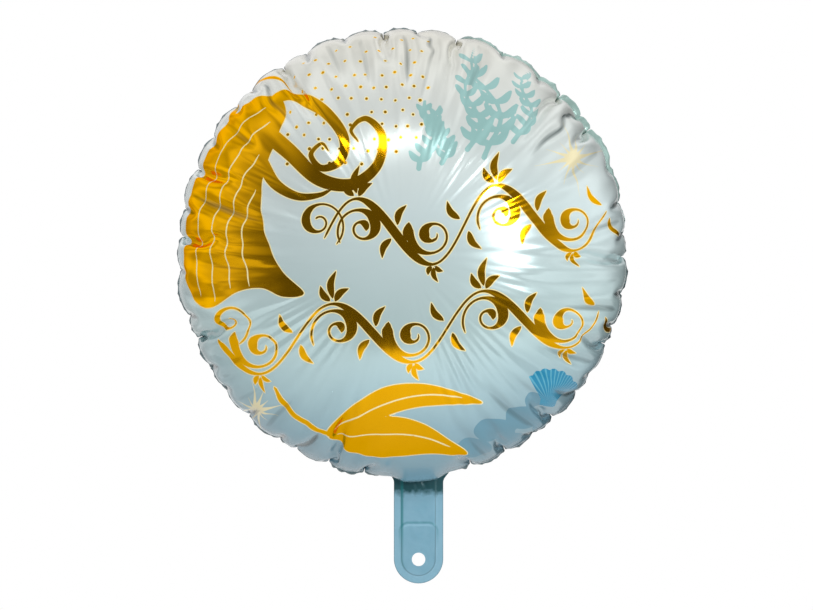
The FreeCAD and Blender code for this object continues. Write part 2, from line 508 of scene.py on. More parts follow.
PUFF_SPREAD = math.radians(7)  # the film round a point is averaged over this much of the turn
TUCK_FILL, LONG_TUCK_FILL = 0.50, 0.18  # how much of a short tuck and of a long one is filled in


def flatter_puffs(X, lengths, theta, folds, keep=0.72):
    """Brings the puffs and the short tucks near the rim closer to the smooth shape."""
    near_long = np.exp(-((off_long_creases(theta, folds) / math.radians(3.5)) ** 2))
    depth = fold_depth(X, PUFF_SPREAD)
    near_rim = smoothstep(90, 30, FLAT_R - lengths)[:, None]
    fill = TUCK_FILL + (LONG_TUCK_FILL - TUCK_FILL) * near_long
    change = np.where(depth < 0, 1 - keep, fill) * depth * near_rim
    return X + change[..., None] * outwards(X)


def drawn_out(X, lengths, share=0.6):
    """Moves the film near the rim outwards by a share of the weld's width, as gas stretches real film."""
    moved = X.copy()
    radius = np.hypot(X[..., 0], X[..., 2])
    growth = 1 + share * WELD * smoothstep(70, FLAT_R, lengths)[:, None] / np.maximum(radius, 1.0)
    moved[..., 0] *= growth
    moved[..., 2] *= growth
    return moved


SAG_INSET, SAG_END = 11, 62  # how far in from the rim the sag over the neck is deepest, and where it ends


def over_neck(X, lengths, depth):
    """Lets the film sag over the neck, where no weld holds it to the seam plane."""
    inset = FLAT_R - lengths
    profile = smoothstep(0, SAG_INSET, inset) * (1 - smoothstep(SAG_INSET, SAG_END, inset))
    middle = NECK_HALF * 0.05
    window = 1 - smoothstep(0.45 * NECK_HALF, 1.0 * NECK_HALF, np.abs(X[..., 0] + CENTRE[0] - middle))
    below = smoothstep(0, 40, -X[..., 2])
    sag = depth * profile[:, None] * window * below
    sunk = X.copy()
    sunk[..., 2] -= sag
    sunk[..., 1] -= 0.25 * sag
    return sunk


def panel(name, X, lengths, theta, side, seed):
    """One whole panel. side is -1 for the printed front and 1 for the back, which is its mirror image."""
    film = with_ripples(over_neck(X, lengths, depth=4.5), lengths, theta, seed)
    rows, columns = film.shape[:2]
    points = np.concatenate([film.reshape(-1, 3), [[0, -HEIGHTS[0], 0]]])
    points[:, 1] *= -side
    faces = grid_faces(rows, columns, closed=True, flip=side > 0).tolist()
    middle = rows * columns
    for i in range(columns):
        j = (i + 1) % columns
        faces.append((i, j, middle) if side < 0 else (j, i, middle))
    flat = np.stack([lengths[:, None] * np.cos(theta), lengths[:, None] * np.sin(theta)], -1)
    flat = np.concatenate([flat.reshape(-1, 2), [[0, 0]]])
    made = make_mesh(name, points + CENTRE, faces)
    # Stored for the material's painted shade down the tucks.
    point_values(made, "fold_depth", np.append(fold_depth(X, math.radians(1.3)), 0.0))
    return made, flat


LAID_BACK = (76, 94)  # how far the weld is turned back from the seam plane, in degrees
OPEN_SIDE, OPEN_SPREAD = math.radians(38), math.radians(13)  # the stretch of rim that isn't laid back as far
CRINKLE = math.radians(7)
FLANGE_FILM = 0.2


def flange(rim, folds):
    """The welded band outside the rim: crinkled, and laid back from puff to puff at its own angle."""
    random = np.random.default_rng(5)
    azimuth = np.unwrap(np.arctan2(rim[:, 2], rim[:, 0]))
    ends = np.array([f[0] for f in folds])
    puff = np.searchsorted(ends, np.mod(azimuth, TURN)) % len(ends)
    laid = random.uniform(*LAID_BACK, len(ends))
    middle = np.mod((ends + np.roll(ends, 1)) / 2, TURN)
    open_side = np.exp(-((off_azimuth(middle, OPEN_SIDE) / OPEN_SPREAD) ** 2))
    laid = np.radians(laid * (1 - 0.75 * open_side) + random.uniform(-8, 8, len(ends)))
    tilt = laid[puff]
    for _ in range(4):
        tilt = tilt / 2 + (np.roll(tilt, 1) + np.roll(tilt, -1)) / 4
    crinkle = ripple_wave(azimuth, 70, 190, random)
    tilt = tilt + CRINKLE * crinkle
    outward = np.stack([np.cos(azimuth), 0 * azimuth, np.sin(azimuth)], -1)
    back = np.array([0, 1.0, 0])
    keep = off_azimuth(azimuth, NECK_AZIMUTH) > (NECK_HALF - 1) / FILLED_R
    start = int(np.argmax(keep & ~np.roll(keep, 1)))
    order = (start + np.arange(len(rim))) % len(rim)
    order = order[keep[order]]
    points, offsets = [], []
    for share in np.linspace(0, 1, 6):
        bend = tilt * (0.75 + 0.25 * share)
        d = np.cos(bend)[:, None] * outward + np.sin(bend)[:, None] * back
        n = -np.sin(bend)[:, None] * outward + np.cos(bend)[:, None] * back
        points.append((rim + WELD * share * d - FLANGE_FILM / 2 * n)[order])
        offsets.append(FLANGE_FILM * n[order])
    grid = np.stack(points)
    faces = grid_faces(*grid.shape[:2]).tolist()
    points, faces = thickened(grid.reshape(-1, 3), faces, np.stack(offsets).reshape(-1, 3))
    return make_mesh("rim_flange", points + CENTRE, faces, sharp=50)


# ---------------------------------------------------------------- neck and tail
FILM = 0.3  # a ply's thickness
SEAM_GAP = 0.03  # from the seam plane to a ply where the plies are welded
PLY_CLEAR = 0.34  # from the seam plane to a ply over the valve
PIECE_SPLIT = (NECK_FOLD + TAIL_FOLD) / 2  # where the neck piece hands over to the tail piece
# How far a ply rises in the arch between its welds, in the neck's puckers and in the wrinkles.
ARCH_RISE, PUCKER_RISE, WRINKLE_RISE = 0.38, 0.55, 0.16
RIDGE_RISE = 0.26  # the ridge round the inlet's patch, and how far the patch lies below the rest
CRIMP_RISE = 0.035  # the crimping of the welds


def neck_width(z):
    """Half-width of the neck and tail at each height."""
    return TAIL_HALF + (NECK_HALF - TAIL_HALF) * smoothstep(0, neck_high[2] - 3, z) ** 1.5


def rounded_box(x, z, half, low, high, corner_low, corner_high):
    """Signed distance to an upright panel with rounded corners, negative inside."""
    middle = (low + high) / 2
    corner = np.where(z < middle, corner_low, corner_high)
    dx = np.abs(x) - half + corner
    dz = np.abs(z - middle) - (high - low) / 2 + corner
    return np.hypot(np.maximum(dx, 0), np.maximum(dz, 0)) + np.minimum(np.maximum(dx, dz), 0) - corner


def inlet_edge(x, z):
    """Signed distance to the outline of the flat patch below the valve's inlet."""
    return rounded_box(x, z, TAIL_HALF - TAIL_WELD + 0.6, TAIL_END + TAIL_WELD, TAIL_FOLD - 1.6, 11, 6)


def inside_edge(x, z):
    """How far inside the outline of the neck and tail a point is."""
    round_end = TAIL_HALF - np.hypot(x, z - TAIL_END - TAIL_HALF)
    return np.minimum(neck_width(z) - np.abs(x), np.where(z < TAIL_END + TAIL_HALF, round_end, 1e3))


def ply_height(x, z):
    """How far a ply's inner face lies from the seam plane: welded edges, channel, ridges and puckers."""
    inside = inside_edge(x, z)
    channel = smoothstep(TAIL_WELD - 0.9, TAIL_WELD + 0.35, inside)
    arch = np.clip((inside - TAIL_WELD) / (TAIL_HALF - TAIL_WELD), 0, 1)
    up_the_neck = smoothstep(-14, 8, z)
    pucker = 0.5 + 0.5 * np.sin(x * 0.95 + 1.2 * np.sin(0.31 * z) + 0.4)
    wrinkle = 0.5 + 0.5 * np.sin(0.55 * x + 0.75 * z + 1.7 * np.sin(0.23 * x - 0.2 * z))
    rise = PLY_CLEAR + ARCH_RISE * np.sqrt(arch) + PUCKER_RISE * up_the_neck * pucker * arch
    rise = rise + WRINKLE_RISE * wrinkle * arch
    edge = inlet_edge(x, z)
    ridge = RIDGE_RISE * np.exp(-((edge / 0.75) ** 2)) - RIDGE_RISE * smoothstep(0, -1.6, edge)
    crimp = CRIMP_RISE * np.sin(2.1 * x + 0.6 * z) * np.sin(1.9 * z - 0.5 * x)
    open_height = np.maximum(rise + ridge, PLY_CLEAR) - SEAM_GAP
    return SEAM_GAP + (1 - channel) * (0.05 + crimp) + channel * open_height


def ply(name, flat_points, faces, side):
    """A thin closed ply over a flat mesh in the seam plane. Faces run clockwise as seen from the front."""
    x, z = flat_points[:, 0], flat_points[:, 1]
    height = ply_height(x, z)
    inner = np.stack([x, side * height, z], -1)
    faces = [tuple(reversed(f)) if side < 0 else tuple(f) for f in faces]
    points, faces = thickened(inner, [tuple(reversed(f)) for f in faces], np.array([0, side * FILM, 0]))
    made = make_mesh(name, points, faces, sharp=50)
    point_values(made, "edge_distance", np.tile(inside_edge(x, z), 2))
    point_values(made, "inlet_distance", np.tile(inlet_edge(x, z), 2))
    return made


def neck_flat():
    """Flat mesh of the neck piece, from inside the filled disc down to the split."""
    across, down = np.linspace(-1, 1, 73), np.linspace(neck_high[2] - 1.5, PIECE_SPLIT, 61)
    z = np.repeat(down[:, None], len(across), 1)
    x = across[None, :] * neck_width(z)
    return np.stack([x, z], -1).reshape(-1, 2), grid_faces(*z.shape).tolist()


def tail_flat():
    """Flat mesh of the tail piece: straight rows down to near the hole, then rings out to the edge."""
    ring_top = HOLE_Z + 0.75 * TAIL_HALF
    rays, rings = 168, 26
    corner = math.atan2(TAIL_HALF, ring_top - HOLE_Z)
    top_rays = 44
    top = np.linspace(-corner, corner, top_rays + 1)
    rest = np.linspace(corner, TURN - corner, rays - top_rays + 1)[1:-1]
    angle = np.concatenate([top, rest])  # clockwise from straight up
    ux, uz = np.sin(angle), np.cos(angle)
    reach = np.where(np.abs(ux) > 1e-9, TAIL_HALF / np.maximum(np.abs(ux), 1e-9), 1e9)
    reach[: top_rays + 1] = (ring_top - HOLE_Z) / uz[: top_rays + 1]
    arc_z = TAIL_END + TAIL_HALF - HOLE_Z
    on_arc = uz * arc_z + np.sqrt(np.maximum((uz * arc_z) ** 2 - arc_z**2 + TAIL_HALF**2, 0))
    below = HOLE_Z + uz * reach < TAIL_END + TAIL_HALF
    reach = np.where(below & (np.arange(rays) > top_rays), on_arc, reach)
    share = np.linspace(0, 1, rings)[:, None] ** 1.15
    r = HOLE_R + (reach[None, :] - HOLE_R) * share
    ring_points = np.stack([ux * r, HOLE_Z + uz * r], -1).reshape(-1, 2)
    faces = grid_faces(rings, rays, closed=True).tolist()
    columns = (r[-1] * ux)[: top_rays + 1]
    down = np.linspace(PIECE_SPLIT, ring_top, 40)[:-1]
    straight = np.stack(np.broadcast_arrays(columns[None, :], down[:, None]), -1).reshape(-1, 2)
    count = len(ring_points)
    faces = [tuple(reversed(f)) for f in faces]
    shared = np.arange(top_rays + 1) + (rings - 1) * rays
    index = np.concatenate([count + np.arange(len(straight)).reshape(len(down), -1), shared[None, :]])
    quads = np.stack([index[:-1, :-1], index[1:, :-1], index[1:, 1:], index[:-1, 1:]], -1).reshape(-1, 4)
    return np.concatenate([ring_points, straight]), faces + quads.tolist()


# ---------------------------------------------------------------- attributes that carry the artwork
FAR = 50.0  # stored where no stroke or dot is near


def point_values(made, name, values):
    kind = "FLOAT" if np.ndim(values) == 1 else "FLOAT_VECTOR"
    attribute = made.data.attributes.new(name, kind, "POINT")
    attribute.data.foreach_set("value" if kind == "FLOAT" else "vector", np.ravel(values).astype(np.float32))


def corner_vectors(made, name, values):
    attribute = made.data.attributes.new(name, "FLOAT_VECTOR", "CORNER")
    attribute.data.foreach_set("vector", np.ravel(values).astype(np.float32))


def face_corners(made, flat):
    """The face of every face corner and its place on the flat film, and the place of every face's middle."""
    mesh = made.data
    vertex = np.empty(len(mesh.loops), np.int64)
    mesh.loops.foreach_get("vertex_index", vertex)
    starts, totals = np.empty((2, len(mesh.polygons)), np.int64)
    mesh.polygons.foreach_get("loop_start", starts)
    mesh.polygons.foreach_get("loop_total", totals)
    places = flat[vertex]
    middles = np.stack([np.add.reduceat(places[:, i], starts) / totals for i in (0, 1)], -1)
    return np.repeat(np.arange(len(starts)), totals), places, middles


def as_seen(points):
    """Places seen from the front on the filled disc, moved to where they are on the flat film."""
    points = np.asarray(points, float)
    radius = np.hypot(points[:, 0], points[:, 1])
    return points * (np.interp(radius, RADII, LENGTHS) / np.maximum(radius, 1e-6))[:, None]


def smooth_line(points, closed=False, spacing=1.2):
    """A smooth line through the points, as points about spacing apart."""
    p = np.asarray(points, float)
    ends = [p[-1:], p, p[:2]] if closed else [2 * p[:1] - p[1:2], p, 2 * p[-1:] - p[-2:-1]]
    p = np.concatenate(ends)
    out = []
    for p0, p1, p2, p3 in zip(p[:-3], p[1:-2], p[2:-1], p[3:]):
        count = max(2, int(np.hypot(*(p2 - p1)) / spacing))
        t = np.arange(count)[:, None] / count
        out.append(curve_between(p0, p1, p2, p3, t))
    if not closed:
        out.append(p[-2:-1])
    return np.concatenate(out)


def pen_stroke(points, thin=0.55, thick=2.9, taper=5.0):
    """A pen line: points on the flat film and half-widths, broad where it runs down and fine at its ends."""
    seen = smooth_line(points)
    d = np.gradient(seen, axis=0)
    d /= np.maximum(np.hypot(*d.T), 1e-9)[:, None]
    press = np.clip(-d[:, 1] + 0.15 * d[:, 0], 0, 1) ** 1.6
    kernel = np.ones(7) / 7
    press = np.convolve(np.pad(press, 3, mode="edge"), kernel, "valid")
    run = np.concatenate([[0], np.cumsum(np.hypot(*np.diff(seen, axis=0).T))])
    ends = np.minimum(run, run[-1] - run)
    return as_seen(seen), (thin + (thick - thin) * press) * (0.45 + 0.55 * smoothstep(0, taper, ends))


def drop_stroke(start, end, bulge, wide):
    """A leaf or drop: a bowed line from start to end that swells in its middle."""
    start, end = np.asarray(start, float), np.asarray(end, float)
    across = np.array([start[1] - end[1], end[0] - start[0]])
    seen = smooth_line([start, (start + end) / 2 + bulge * across, end], spacing=0.8)
    t = np.linspace(0, 1, len(seen))
    return as_seen(seen), wide * np.sin(math.pi * t**0.8) ** 0.9 + 0.05


def ray_stroke(centre, angle, length, wide):
    """One ray of a sparkle: widest at the centre, sharp at its tip."""
    tip = np.array([math.cos(angle), math.sin(angle)]) * length
    t = np.linspace(0, 1, max(4, int(length / 1.2)))[:, None]
    return as_seen(np.asarray(centre) + t * tip), wide * (1 - t[:, 0]) ** 2.2 + 0.12


def cut_up(strokes, size=24):
    """Long strokes in short lengths that overlap, so that a line which crosses itself is two lines there."""
    made = []
    for points, half in strokes:
        for start in range(0, max(1, len(points) - 3), size):
            low, high = max(0, start - 2), min(len(points), start + size + 3)
            made.append((points[low:high], half[low:high]))
    return made


def stroke_offset(places, points, half):
    """Signed distance from each place to a stroke's middle line, and the half-width there."""
    d2 = ((places[:, None, :] - points[None, :, :]) ** 2).sum(-1)
    k = d2.argmin(1)
    run = np.concatenate([[0], np.cumsum(np.hypot(*np.diff(points, axis=0).T))])
    along = np.gradient(points, axis=0)
    along /= np.maximum(np.hypot(*along.T), 1e-9)[:, None]
    rel = places - points[k]
    t = run[k] + (rel * along[k]).sum(1)
    off = rel[:, 1] * along[k, 0] - rel[:, 0] * along[k, 1]
    beyond = np.maximum(np.maximum(-t, t - run[-1]), 0)
    return off, np.interp(t, run, half) - beyond


def draw_strokes(made, flat, strokes, names, margin=7.0):
    """Stores, at every face corner, how far it is from the nearest strokes, an attribute for each name."""
    corner_face, corner_place, middle = face_corners(made, flat)
    best = np.full((len(names), len(middle)), 1e3)
    which = np.full((len(names), len(middle)), -1)
    pieces = cut_up(strokes)
    for n, (points, half) in enumerate(pieces):
        low, high = points.min(0) - margin, points.max(0) + margin
        f = np.nonzero(((middle > low) & (middle < high)).all(1))[0]
        off, width = stroke_offset(middle[f], points, half)
        score, number = np.abs(off) - width, np.full(len(f), n)
        for rank in range(len(names)):
            old_score, old_number = best[rank, f], which[rank, f]
            better = score < old_score
            best[rank, f] = np.where(better, score, old_score)
            which[rank, f] = np.where(better, number, old_number)
            score, number = np.where(better, old_score, score), np.where(better, old_number, number)
    for rank, name in enumerate(names):
        values = np.tile([FAR, 0.0, 0.0], (len(corner_place), 1))
        picked = which[rank][corner_face]
        for n in np.unique(picked[picked >= 0]):
            c = np.nonzero(picked == n)[0]
            values[c, 0], values[c, 1] = stroke_offset(corner_place[c], *pieces[n])
        corner_vectors(made, name, values)


def draw_dots(made, flat, centres, radii, name, margin=8.0):
    """Stores at every face corner its place about the nearest dot, and the dot's radius."""
    corner_face, corner_place, middle = face_corners(made, flat)
    low, high = centres.min(0) - margin, centres.max(0) + margin
    inside = ((middle > low) & (middle < high)).all(1)
    nearest = np.zeros(len(middle), np.int64)
    gap = middle[inside][:, None, :] - centres[None]
    nearest[inside] = (gap**2).sum(-1).argmin(1)
    dot = nearest[corner_face]
    values = np.column_stack([corner_place - centres[dot], radii[dot]])
    values[~inside[corner_face]] = (FAR, FAR, 0)
    corner_vectors(made, name, values)


def outline_distance(places, outline, margin=9.0):
    """Signed distance to a closed outline, negative inside, worked out only near it."""
    distance = np.full(len(places), margin)
    low, high = outline.min(0) - margin, outline.max(0) + margin
    near = np.nonzero(((places > low) & (places < high)).all(1))[0]
    p = places[near]
    a, b = outline, np.roll(outline, -1, 0)
    best = np.full(len(p), 1e9)
    inside = np.zeros(len(p), bool)
    for s, e in zip(a, b):
        d = e - s
        t = np.clip(((p - s) @ d) / max(d @ d, 1e-12), 0, 1)
        best = np.minimum(best, ((p - s - t[:, None] * d) ** 2).sum(1))
        if s[1] != e[1]:
            over = (p[:, 1] < s[1]) != (p[:, 1] < e[1])
            inside ^= over & (p[:, 0] < s[0] + (p[:, 1] - s[1]) * d[0] / d[1])
    distance[near] = np.where(inside, -1, 1) * np.sqrt(best)
    return np.minimum(distance, margin)


def limb_distance(places, points, half, margin=9.0):
    """Distance to the edge of a rounded limb, negative inside."""
    distance = np.full(len(places), margin)
    low, high = points.min(0) - margin - half.max(), points.max(0) + margin + half.max()
    near = np.nonzero(((places > low) & (places < high)).all(1))[0]
    d = np.sqrt(((places[near][:, None, :] - points[None]) ** 2).sum(-1)) - half[None, :]
    distance[near] = d.min(1)
    return np.minimum(distance, margin)


# ---------------------------------------------------------------- the printed design, as seen from the front
WAVE = (
    (-158, -30), (-163, 0), (-160, 32), (-151, 62), (-137, 88), (-120, 107), (-102, 116), (-90, 112),
    (-88, 100), (-94, 82), (-102, 60), (-105, 36), (-101, 10), (-90, -14), (-73, -31), (-88, -34),
    (-104, -28), (-122, -31), (-140, -42), (-151, -40),
)  # fmt: skip
WAVE_VEINS = (
    ((-150, -35), (-153, 0), (-149, 34), (-138, 66), (-121, 92), (-102, 106)),
    ((-139, -38), (-142, 0), (-138, 32), (-128, 60), (-113, 84), (-98, 96)),
    ((-127, -29), (-131, 2), (-127, 30), (-118, 54), (-106, 72)),
    ((-113, -27), (-119, 4), (-116, 28), (-109, 46)),
)
# Foam curls: the line each follows, and its half-width where it leaves the wave.
WAVE_FOAM = (
    (((-108, 108), (-84, 116), (-60, 106), (-44, 86), (-46, 68), (-60, 62), (-68, 72), (-60, 80),
      (-55, 75)), 6.0),
    (((-101, 88), (-84, 74), (-62, 54), (-38, 50), (-19, 64), (-15, 86), (-27, 99), (-38, 91),
      (-33, 82)), 6.2),
    (((-104, 66), (-94, 50), (-78, 41), (-62, 42), (-52, 47)), 4.6),
    (((-128, 96), (-124, 116), (-108, 128), (-92, 128), (-84, 122)), 3.4),
)  # fmt: skip
LEAF_STEM = ((-93, -101), (-84, -116), (-68, -128), (-52, -134), (-38, -133))
LEAVES = (
    ((-56, -133), (-40, -117), (-14, -101), (14, -98), (40, -104), (58, -112), (38, -113), (12, -115),
     (-10, -121), (-30, -131), (-46, -139)),
    ((-54, -136), (-34, -126), (-8, -122), (14, -127), (32, -138), (45, -150), (22, -149), (-4, -151),
     (-26, -151), (-44, -146)),
)  # fmt: skip
LEAF_VEINS = (
    ((-50, -133), (-28, -120), (-4, -110), (20, -106), (44, -108)),
    ((-48, -139), (-26, -136), (-2, -135), (18, -138), (34, -144)),
)
# Kelp: each frond as its foot, the way it leans and its height.
KELP = ((50, 76, 0.08, 66), (68, 70, -0.10, 82), (87, 82, 0.14, 54), (17, 62, 0.08, 50), (31, 66, -0.10, 42))
SPARKLES = (((127, 68), 29), ((-106, -117), 23))  # each one's middle and its longest ray
SHELL = (107, -112, 23)  # its hinge and its reach
# Pebbles: each one's middle, and half its width and height.
PEBBLES = (
    (66, -133, 15, 9), (88, -124, 13, 9), (80, -142, 12, 7), (103, -135, 10, 7), (50, -146, 13, 7),
    (97, -112, 8, 6),
)  # fmt: skip
# A scroll row's two ends, its wave's height, how many half-waves it has, and whether it starts up or down.
ROW_1 = ((-58, 10), (150, 30), 27, 4, 1)
ROW_2 = ((-134, -70), (146, -46), 24, 5, -1)


def spiral(centre, start_radius, end_radius, start, turns, count=26):
    t = np.linspace(0, 1, count)
    angle = start + turns * TURN * t
    radius = start_radius * (end_radius / start_radius) ** t
    return np.stack([centre[0] + radius * np.cos(angle), centre[1] + radius * np.sin(angle)], -1)


def scroll_row(start, end, height, waves, first):
    """A running scroll: one long wave with a curl in every bend, and drops where it crosses its middle."""
    start, end = np.array(start, float), np.array(end, float)
    way = (end - start) / np.hypot(*(end - start))
    up = np.array([-way[1], way[0]])
    pitch = np.hypot(*(end - start)) / waves

    def place(x, z):
        return start + way * x + up * z

    stem_x = np.linspace(0, pitch * waves, waves * 8 + 1)
    stem = [place(x, first * height * math.sin(math.pi * x / pitch)) for x in stem_x]
    strokes = [pen_stroke(stem, 0.85, 4.0)]
    for i in range(waves):
        sign = first if i % 2 == 0 else -first
        centre = np.array([(i + 0.54) * pitch, sign * height * 0.18])
        curl = spiral(centre, pitch * 0.37, 3.4, math.pi + sign * 0.5, -sign * 1.6, 34)
        strokes.append(pen_stroke([place(*p) for p in curl], 0.85, 4.2))
        root = place((i + 0.5) * pitch, sign * height)
        lean = 0.35 * sign
        small = 0.55 if sign < 0 else 1.0
        for swing, size in ((-0.55, 17 * small), (0.15, 25 * small), (0.85, 16 * small)):
            angle = math.pi / 2 * sign + swing * sign - lean
            tip = root + size * (way * math.cos(angle) + up * math.sin(angle))
            strokes.append(drop_stroke(root + 0.16 * (tip - root), tip, 0.14 * sign, 2.6 * small**0.5))
        cross = place((i + 1) * pitch, 0)
        for side in (-1, 1):
            tip = cross + side * (up * 19 + way * 11 * sign)
            strokes.append(drop_stroke(cross + 0.25 * (tip - cross), tip, 0.16 * side, 2.5))
    return strokes


def gold_strokes():
    strokes = scroll_row(*ROW_1) + scroll_row(*ROW_2)
    strokes += [pen_stroke(spiral((-62, 22), 21, 3.4, -0.9, 1.5, 32), 0.75, 3.4)]
    strokes += [pen_stroke(spiral((-128, -54), 19, 3.4, -1.1, 1.4, 32), 0.75, 3.2)]
    for points, wide in WAVE_FOAM:
        line = smooth_line(points)
        strokes.append((as_seen(line), wide * np.linspace(1, 0, len(line)) ** 0.7 + 0.5))
    line, half = pen_stroke(LEAF_STEM, thin=2.0, thick=2.6, taper=12)
    strokes.append((line, half))
    return strokes


def kelp_limbs():
    limbs = []
    for x, z, lean, height in KELP:
        t = np.linspace(0, 1, 9)
        sway = 0.10 * height * np.sin(7 * t + x)
        stem = np.stack([x + lean * height * t + sway, z + height * t], -1)
        line = smooth_line(stem)
        limbs.append((as_seen(line), np.linspace(2.0, 1.2, len(line))))
        for k in range(1, 8):
            base = stem[k]
            for side in (-1, 1):
                blade = 0.21 * height * (1 - 0.45 * k / 8)
                tip = base + blade * np.array([side * 0.80, 0.62])
                bend = (base + tip) / 2 + np.array([side * 0.06, -0.12]) * blade
                leaf = smooth_line([base, bend, tip], spacing=0.8)
                swell = np.sin(math.pi * np.linspace(0.12, 0.92, len(leaf)))
                limbs.append((as_seen(leaf), 0.5 + 0.12 * blade * swell + 0.9 * swell))
    return limbs


def shell_outline():
    x, z, reach = SHELL
    angle = np.linspace(math.radians(-52), math.radians(52), 85)
    lobes = 1 + 0.07 * np.abs(np.sin(angle / math.radians(104) * math.pi * 6.5 + math.pi / 4))
    lean = math.radians(76)
    fan = np.stack([x + reach * lobes * np.cos(lean + angle), z + reach * lobes * np.sin(lean + angle)], -1)
    foot = np.array([[x - 5, z + 1], [x - 5, z - 4], [x + 5, z - 4], [x + 6, z + 1]])
    return as_seen(np.concatenate([fan, foot]))


def dot_places():
    """Small gold dots over the upper left, thinning out to one side."""
    random = np.random.default_rng(3)
    places = []
    for row in range(11):
        for column in range(13):
            x = -84 + 10.4 * column + 5.2 * (row % 2) + random.uniform(-1.8, 1.8)
            z = 66 + 9.4 * row + random.uniform(-1.8, 1.8)
            edge = math.hypot(x, z)
            if edge < 162 and x < -62 + 1.15 * (z - 20) and x < 20 and random.uniform() < 0.93:
                places.append((x, z))
    return as_seen(places), np.array([0.9 + 0.4 * random.uniform() for _ in places])


def print_design(made, flat):
    """Puts the whole design on the front panel as distances, which the film's material turns into ink."""
    outlines = [as_seen(smooth_line(WAVE, closed=True))]
    outlines += [as_seen(smooth_line(leaf, closed=True)) for leaf in LEAVES]
    gold = np.min([outline_distance(flat, o) for o in outlines], axis=0)
    teal = np.min([limb_distance(flat, p, h) for p, h in kelp_limbs()], axis=0)
    stones = []
    for x, z, wide, tall in PEBBLES:
        angle = np.linspace(0, TURN, 40, endpoint=False)
        ring = np.stack([x + wide * np.cos(angle), z + tall * np.sin(angle)], -1)
        stones.append(outline_distance(flat, as_seen(ring)))
    point_values(made, "gold_shapes", gold)
    point_values(made, "kelp", teal)
    point_values(made, "pebbles", np.min(stones, axis=0))
    point_values(made, "shell", outline_distance(flat, shell_outline()))
    hinge = as_seen([SHELL[:2]])[0]
    point_values(made, "shell_place", np.column_stack([flat - hinge, 0 * flat[:, 0]]))
    draw_strokes(made, flat, gold_strokes(), ("gold_line_1", "gold_line_2"))
    veins = [pen_stroke(v, thin=0.6, thick=0.95) for v in LEAF_VEINS + WAVE_VEINS]
    rays = []
    for centre, reach in SPARKLES:
        for k in range(12):
            share = (1.0, 0.5, 0.72)[k % 3]
            rays.append(ray_stroke(centre, math.radians(10) + k * TURN / 12, reach * share, 3.0))
    draw_strokes(made, flat, veins, ("pale_line",))
    draw_strokes(made, flat, rays, ("sparkle_1", "sparkle_2"))
    draw_dots(made, flat, *dot_places(), "gold_dots")


# ---------------------------------------------------------------- materials
class Nodes:
    """Short calls for building a node tree."""

    def __init__(self, tree):
        self.tree = tree

    def node(self, kind, inputs=(), **settings):
        made = self.tree.nodes.new(kind)
        for key, value in settings.items():
            setattr(made, key, value)
        for socket, value in dict(inputs).items():
            self.put(made.inputs[socket], value)
        return made

    def put(self, socket, value):
        if isinstance(value, bpy.types.NodeSocket):
            self.tree.links.new(value, socket)
        else:
            socket.default_value = value

    def maths(self, operation, *values, clamp=False):
        return self.node("ShaderNodeMath", enumerate(values), operation=operation, use_clamp=clamp).outputs[0]

    def attribute(self, name, output="Fac"):
        return self.node("ShaderNodeAttribute", attribute_name=name).outputs[output]

    def parts(self, vector):
        return self.node("ShaderNodeSeparateXYZ", {0: vector}).outputs

    def noise(self, scale, detail=2.0, vector=None, rough=0.5):
        inputs = {"Scale": scale, "Detail": detail, "Roughness": rough}
        if vector is not None:
            inputs["Vector"] = vector
        return self.node("ShaderNodeTexNoise", inputs).outputs["Fac"]

    def crimping(self, place, scale, wander):
        inputs = {"Vector": place, "Scale": scale, "Distortion": wander}
        return self.node("ShaderNodeTexWave", inputs, bands_direction="DIAGONAL").outputs["Fac"]

    def ramp(self, factor, stops):
        made = self.node("ShaderNodeValToRGB", {"Fac": factor})
        elements = made.color_ramp.elements
        while len(elements) < len(stops):
            elements.new(0.5)
        for element, (at, colour) in zip(elements, stops):
            element.position, element.color = at, (*colour, 1)
        return made.outputs["Color"]

    def mix(self, factor, a, b):
        made = self.node("ShaderNodeMix", data_type="RGBA")
        self.put(made.inputs[0], factor)
        for socket, value in ((made.inputs[6], a), (made.inputs[7], b)):
            self.put(socket, (*value, 1) if isinstance(value, tuple) else value)
        return made.outputs[2]

    def mix_value(self, factor, a, b):
        made = self.node("ShaderNodeMix", data_type="FLOAT")
        for socket, value in ((made.inputs[0], factor), (made.inputs[2], a), (made.inputs[3], b)):
            self.put(socket, value)
        return made.outputs[0]

    def step(self, value, low, high):
        """0 where value is at low, rising to 1 at high."""
        return self.node("ShaderNodeMapRange", {"Value": value, "From Min": low, "From Max": high}).outputs[0]

    def below(self, value, edge, soft=0.12):
        """1 where value is below edge and 0 above it, with a narrow soft step."""
        return self.step(value, edge + soft, edge - soft)

    def near(self, value, at, half, soft):
        """1 within half of where value is at, with soft sides."""
        return self.below(self.maths("ABSOLUTE", self.maths("SUBTRACT", value, at)), half, soft)

    def times(self, a, b):
        return self.maths("MULTIPLY", a, b)

    def scaled(self, value, by, plus=0.0):
        return self.maths("MULTIPLY_ADD", value, by, plus)


class Looks(Nodes):
    """A material, with short calls for its nodes."""

    def __init__(self, name):
        self.material = bpy.data.materials.new(name)
        self.material.use_nodes = True
        super().__init__(self.material.node_tree)
        self.shader = self.tree.nodes["Principled BSDF"]

    def bump(self, height, strength, distance):
        made = self.node("ShaderNodeBump", {"Height": height, "Strength": strength, "Distance": distance})
        self.put(self.shader.inputs["Normal"], made.outputs[0])

    def set(self, **values):
        for name, value in values.items():
            value = (*value, 1) if isinstance(value, tuple) else value
            self.put(self.shader.inputs[name.replace("_", " ")], value)
        return self.material


def line_inside(looks, name):
    """Distance to the edge of the nearest stroke, negative inside it."""
    x, y, _ = looks.parts(looks.attribute(name, "Vector"))
    return looks.maths("SUBTRACT", looks.maths("ABSOLUTE", x), y)


